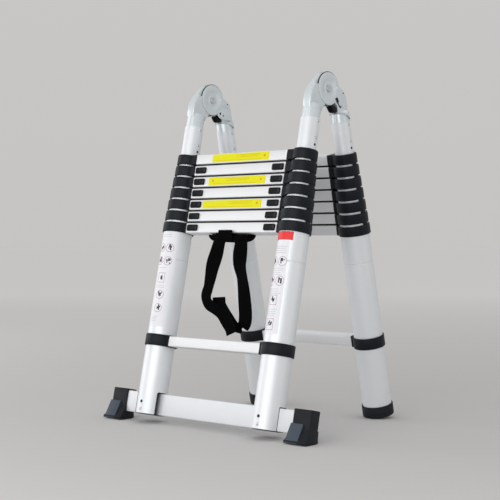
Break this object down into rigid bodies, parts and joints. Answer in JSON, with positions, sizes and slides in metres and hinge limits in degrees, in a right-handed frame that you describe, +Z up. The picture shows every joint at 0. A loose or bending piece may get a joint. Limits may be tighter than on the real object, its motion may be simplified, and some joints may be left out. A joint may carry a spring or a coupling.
{
  "type": "telescoping ladder",
  "caption": "Folding A-frame telescoping ladder with nested round tubes, stacked rungs, thumb latches, top hinges, a stabiliser bar with sleeve feet and a webbing carry strap.",
  "frame": {"origin": "centre of the footprint at floor level", "axes": "+Z up, +X across the ladder, -Y towards the front half with the stabiliser bar"},
  "size_m": [0.674, 0.5356, 0.893],
  "materials": {
    "aluminium": "satin clear-anodised tube, fine lengthwise grain",
    "rung_aluminium": "satin silver extrusion",
    "casting": "smooth die-cast aluminium with a light silver coat",
    "steel": "zinc-plated steel",
    "black_plastic": "fine-textured near-black nylon",
    "rubber": "matt black moulded rubber",
    "webbing": "woven black polypropylene webbing"
  },
  "bodies": {
    "front_base": {"front_base_tube_left": "aluminium", "front_base_tube_right": "aluminium", "front_base_rung": "rung_aluminium", "front_fixed_rung": "rung_aluminium", "stabiliser_bar": "aluminium", "foot_left": "rubber", "foot_right": "rubber", "carry_strap": "webbing"},
    "front_section_2": {"front_section_2": "aluminium"},
    "front_section_3": {"front_section_3": "aluminium"},
    "front_section_4": {"front_section_4": "aluminium"},
    "front_section_5": {"front_section_5": "aluminium"},
    "front_section_6": {"front_section_6": "aluminium"},
    "front_section_7": {"front_section_7": "aluminium", "hinge_front_arm_left": "casting", "hinge_front_arm_right": "casting"},
    "back_base": {"back_base_tube_left": "aluminium", "back_base_tube_right": "aluminium", "back_base_rung": "rung_aluminium", "back_fixed_rung": "rung_aluminium", "back_cap_left": "rubber", "back_cap_right": "rubber"},
    "back_section_2": {"back_section_2": "aluminium"},
    "back_section_3": {"back_section_3": "aluminium"},
    "back_section_4": {"back_section_4": "aluminium"},
    "back_section_5": {"back_section_5": "aluminium"},
    "back_section_6": {"back_section_6": "aluminium"},
    "back_section_7": {"back_section_7": "aluminium", "hinge_back_arm_left": "casting", "hinge_back_arm_right": "casting", "hinge_pin_left": "steel", "hinge_pin_right": "steel"},
    "lever_left": {"hinge_lever_left": "steel"},
    "button_left": {"hinge_button_left": "black_plastic"},
    "lever_right": {"hinge_lever_right": "steel"},
    "button_right": {"hinge_button_right": "black_plastic"},
    "front_latch_left_1": {"front_latch_left_1": "black_plastic"},
    "front_latch_right_1": {"front_latch_right_1": "black_plastic"},
    "front_latch_left_2": {"front_latch_left_2": "black_plastic"},
    "front_latch_right_2": {"front_latch_right_2": "black_plastic"},
    "front_latch_left_3": {"front_latch_left_3": "black_plastic"},
    "front_latch_right_3": {"front_latch_right_3": "black_plastic"},
    "front_latch_left_4": {"front_latch_left_4": "black_plastic"},
    "front_latch_right_4": {"front_latch_right_4": "black_plastic"},
    "front_latch_left_5": {"front_latch_left_5": "black_plastic"},
    "front_latch_right_5": {"front_latch_right_5": "black_plastic"},
    "front_latch_left_6": {"front_latch_left_6": "black_plastic"},
    "front_latch_right_6": {"front_latch_right_6": "black_plastic"},
    "back_latch_left_1": {"back_latch_left_1": "black_plastic"},
    "back_latch_right_1": {"back_latch_right_1": "black_plastic"},
    "back_latch_left_2": {"back_latch_left_2": "black_plastic"},
    "back_latch_right_2": {"back_latch_right_2": "black_plastic"},
    "back_latch_left_3": {"back_latch_left_3": "black_plastic"},
    "back_latch_right_3": {"back_latch_right_3": "black_plastic"},
    "back_latch_left_4": {"back_latch_left_4": "black_plastic"},
    "back_latch_right_4": {"back_latch_right_4": "black_plastic"},
    "back_latch_left_5": {"back_latch_left_5": "black_plastic"},
    "back_latch_right_5": {"back_latch_right_5": "black_plastic"},
    "back_latch_left_6": {"back_latch_left_6": "black_plastic"},
    "back_latch_right_6": {"back_latch_right_6": "black_plastic"}
  },
  "joints": [
    {"name": "front_slide_2", "type": "slide", "parent": "front_base", "child": "front_section_2", "axis": [0, 0.2164, 0.9763], "range_m": [0, 0.2692]},
    {"name": "front_slide_3", "type": "slide", "parent": "front_section_2", "child": "front_section_3", "axis": [0, 0.2164, 0.9763], "range_m": [0, 0.2692]},
    {"name": "front_slide_4", "type": "slide", "parent": "front_section_3", "child": "front_section_4", "axis": [0, 0.2164, 0.9763], "range_m": [0, 0.2692]},
    {"name": "front_slide_5", "type": "slide", "parent": "front_section_4", "child": "front_section_5", "axis": [0, 0.2164, 0.9763], "range_m": [0, 0.2692]},
    {"name": "front_slide_6", "type": "slide", "parent": "front_section_5", "child": "front_section_6", "axis": [0, 0.2164, 0.9763], "range_m": [0, 0.2692]},
    {"name": "front_slide_7", "type": "slide", "parent": "front_section_6", "child": "front_section_7", "axis": [0, 0.2164, 0.9763], "range_m": [0, 0.2692]},
    {"name": "apex_hinge", "type": "hinge", "parent": "front_section_7", "child": "back_section_7", "pos_m": [0, -0.00289, 0.851], "axis": [1, 0, 0], "range_deg": [-24.5, 155]},
    {"name": "back_slide_7", "type": "slide", "parent": "back_section_7", "child": "back_section_6", "axis": [0, 0.2164, -0.9763], "range_m": [0, 0.2692]},
    {"name": "back_slide_6", "type": "slide", "parent": "back_section_6", "child": "back_section_5", "axis": [0, 0.2164, -0.9763], "range_m": [0, 0.2692]},
    {"name": "back_slide_5", "type": "slide", "parent": "back_section_5", "child": "back_section_4", "axis": [0, 0.2164, -0.9763], "range_m": [0, 0.2692]},
    {"name": "back_slide_4", "type": "slide", "parent": "back_section_4", "child": "back_section_3", "axis": [0, 0.2164, -0.9763], "range_m": [0, 0.2692]},
    {"name": "back_slide_3", "type": "slide", "parent": "back_section_3", "child": "back_section_2", "axis": [0, 0.2164, -0.9763], "range_m": [0, 0.2692]},
    {"name": "back_slide_2", "type": "slide", "parent": "back_section_2", "child": "back_base", "axis": [0, 0.2164, -0.9763], "range_m": [0, 0.2692]},
    {"name": "front_latch_slide_left_1", "type": "slide", "parent": "front_base", "child": "front_latch_left_1", "axis": [1, 0, 0], "range_m": [0, 0.008], "stiffness_N_per_m": 300},
    {"name": "front_latch_slide_right_1", "type": "slide", "parent": "front_base", "child": "front_latch_right_1", "axis": [-1, 0, 0], "range_m": [0, 0.008], "stiffness_N_per_m": 300},
    {"name": "front_latch_slide_left_2", "type": "slide", "parent": "front_section_2", "child": "front_latch_left_2", "axis": [1, 0, 0], "range_m": [0, 0.008], "stiffness_N_per_m": 300},
    {"name": "front_latch_slide_right_2", "type": "slide", "parent": "front_section_2", "child": "front_latch_right_2", "axis": [-1, 0, 0], "range_m": [0, 0.008], "stiffness_N_per_m": 300},
    {"name": "front_latch_slide_left_3", "type": "slide", "parent": "front_section_3", "child": "front_latch_left_3", "axis": [1, 0, 0], "range_m": [0, 0.008], "stiffness_N_per_m": 300},
    {"name": "front_latch_slide_right_3", "type": "slide", "parent": "front_section_3", "child": "front_latch_right_3", "axis": [-1, 0, 0], "range_m": [0, 0.008], "stiffness_N_per_m": 300},
    {"name": "front_latch_slide_left_4", "type": "slide", "parent": "front_section_4", "child": "front_latch_left_4", "axis": [1, 0, 0], "range_m": [0, 0.008], "stiffness_N_per_m": 300},
    {"name": "front_latch_slide_right_4", "type": "slide", "parent": "front_section_4", "child": "front_latch_right_4", "axis": [-1, 0, 0], "range_m": [0, 0.008], "stiffness_N_per_m": 300},
    {"name": "front_latch_slide_left_5", "type": "slide", "parent": "front_section_5", "child": "front_latch_left_5", "axis": [1, 0, 0], "range_m": [0, 0.008], "stiffness_N_per_m": 300},
    {"name": "front_latch_slide_right_5", "type": "slide", "parent": "front_section_5", "child": "front_latch_right_5", "axis": [-1, 0, 0], "range_m": [0, 0.008], "stiffness_N_per_m": 300},
    {"name": "front_latch_slide_left_6", "type": "slide", "parent": "front_section_6", "child": "front_latch_left_6", "axis": [1, 0, 0], "range_m": [0, 0.008], "stiffness_N_per_m": 300},
    {"name": "front_latch_slide_right_6", "type": "slide", "parent": "front_section_6", "child": "front_latch_right_6", "axis": [-1, 0, 0], "range_m": [0, 0.008], "stiffness_N_per_m": 300},
    {"name": "back_latch_slide_left_1", "type": "slide", "parent": "back_base", "child": "back_latch_left_1", "axis": [1, 0, 0], "range_m": [0, 0.008], "stiffness_N_per_m": 300},
    {"name": "back_latch_slide_right_1", "type": "slide", "parent": "back_base", "child": "back_latch_right_1", "axis": [-1, 0, 0], "range_m": [0, 0.008], "stiffness_N_per_m": 300},
    {"name": "back_latch_slide_left_2", "type": "slide", "parent": "back_section_2", "child": "back_latch_left_2", "axis": [1, 0, 0], "range_m": [0, 0.008], "stiffness_N_per_m": 300},
    {"name": "back_latch_slide_right_2", "type": "slide", "parent": "back_section_2", "child": "back_latch_right_2", "axis": [-1, 0, 0], "range_m": [0, 0.008], "stiffness_N_per_m": 300},
    {"name": "back_latch_slide_left_3", "type": "slide", "parent": "back_section_3", "child": "back_latch_left_3", "axis": [1, 0, 0], "range_m": [0, 0.008], "stiffness_N_per_m": 300},
    {"name": "back_latch_slide_right_3", "type": "slide", "parent": "back_section_3", "child": "back_latch_right_3", "axis": [-1, 0, 0], "range_m": [0, 0.008], "stiffness_N_per_m": 300},
    {"name": "back_latch_slide_left_4", "type": "slide", "parent": "back_section_4", "child": "back_latch_left_4", "axis": [1, 0, 0], "range_m": [0, 0.008], "stiffness_N_per_m": 300},
    {"name": "back_latch_slide_right_4", "type": "slide", "parent": "back_section_4", "child": "back_latch_right_4", "axis": [-1, 0, 0], "range_m": [0, 0.008], "stiffness_N_per_m": 300},
    {"name": "back_latch_slide_left_5", "type": "slide", "parent": "back_section_5", "child": "back_latch_left_5", "axis": [1, 0, 0], "range_m": [0, 0.008], "stiffness_N_per_m": 300},
    {"name": "back_latch_slide_right_5", "type": "slide", "parent": "back_section_5", "child": "back_latch_right_5", "axis": [-1, 0, 0], "range_m": [0, 0.008], "stiffness_N_per_m": 300},
    {"name": "back_latch_slide_left_6", "type": "slide", "parent": "back_section_6", "child": "back_latch_left_6", "axis": [1, 0, 0], "range_m": [0, 0.008], "stiffness_N_per_m": 300},
    {"name": "back_latch_slide_right_6", "type": "slide", "parent": "back_section_6", "child": "back_latch_right_6", "axis": [-1, 0, 0], "range_m": [0, 0.008], "stiffness_N_per_m": 300},
    {"name": "lever_hinge_left", "type": "hinge", "parent": "back_section_7", "child": "lever_left", "pos_m": [-0.1856, 0.042, 0.81486], "axis": [1, 0, 0], "range_deg": [0, 20], "stiffness_Nm_per_rad": 0.4},
    {"name": "button_slide_left", "type": "slide", "parent": "back_section_7", "child": "button_left", "axis": [0, 0.9763, 0.2164], "range_m": [0, 0.0025], "stiffness_N_per_m": 800},
    {"name": "lever_hinge_right", "type": "hinge", "parent": "back_section_7", "child": "lever_right", "pos_m": [0.1856, 0.042, 0.81486], "axis": [1, 0, 0], "range_deg": [0, 20], "stiffness_Nm_per_rad": 0.4},
    {"name": "button_slide_right", "type": "slide", "parent": "back_section_7", "child": "button_right", "axis": [0, 0.9763, 0.2164], "range_m": [0, 0.0025], "stiffness_N_per_m": 800}
  ]
}
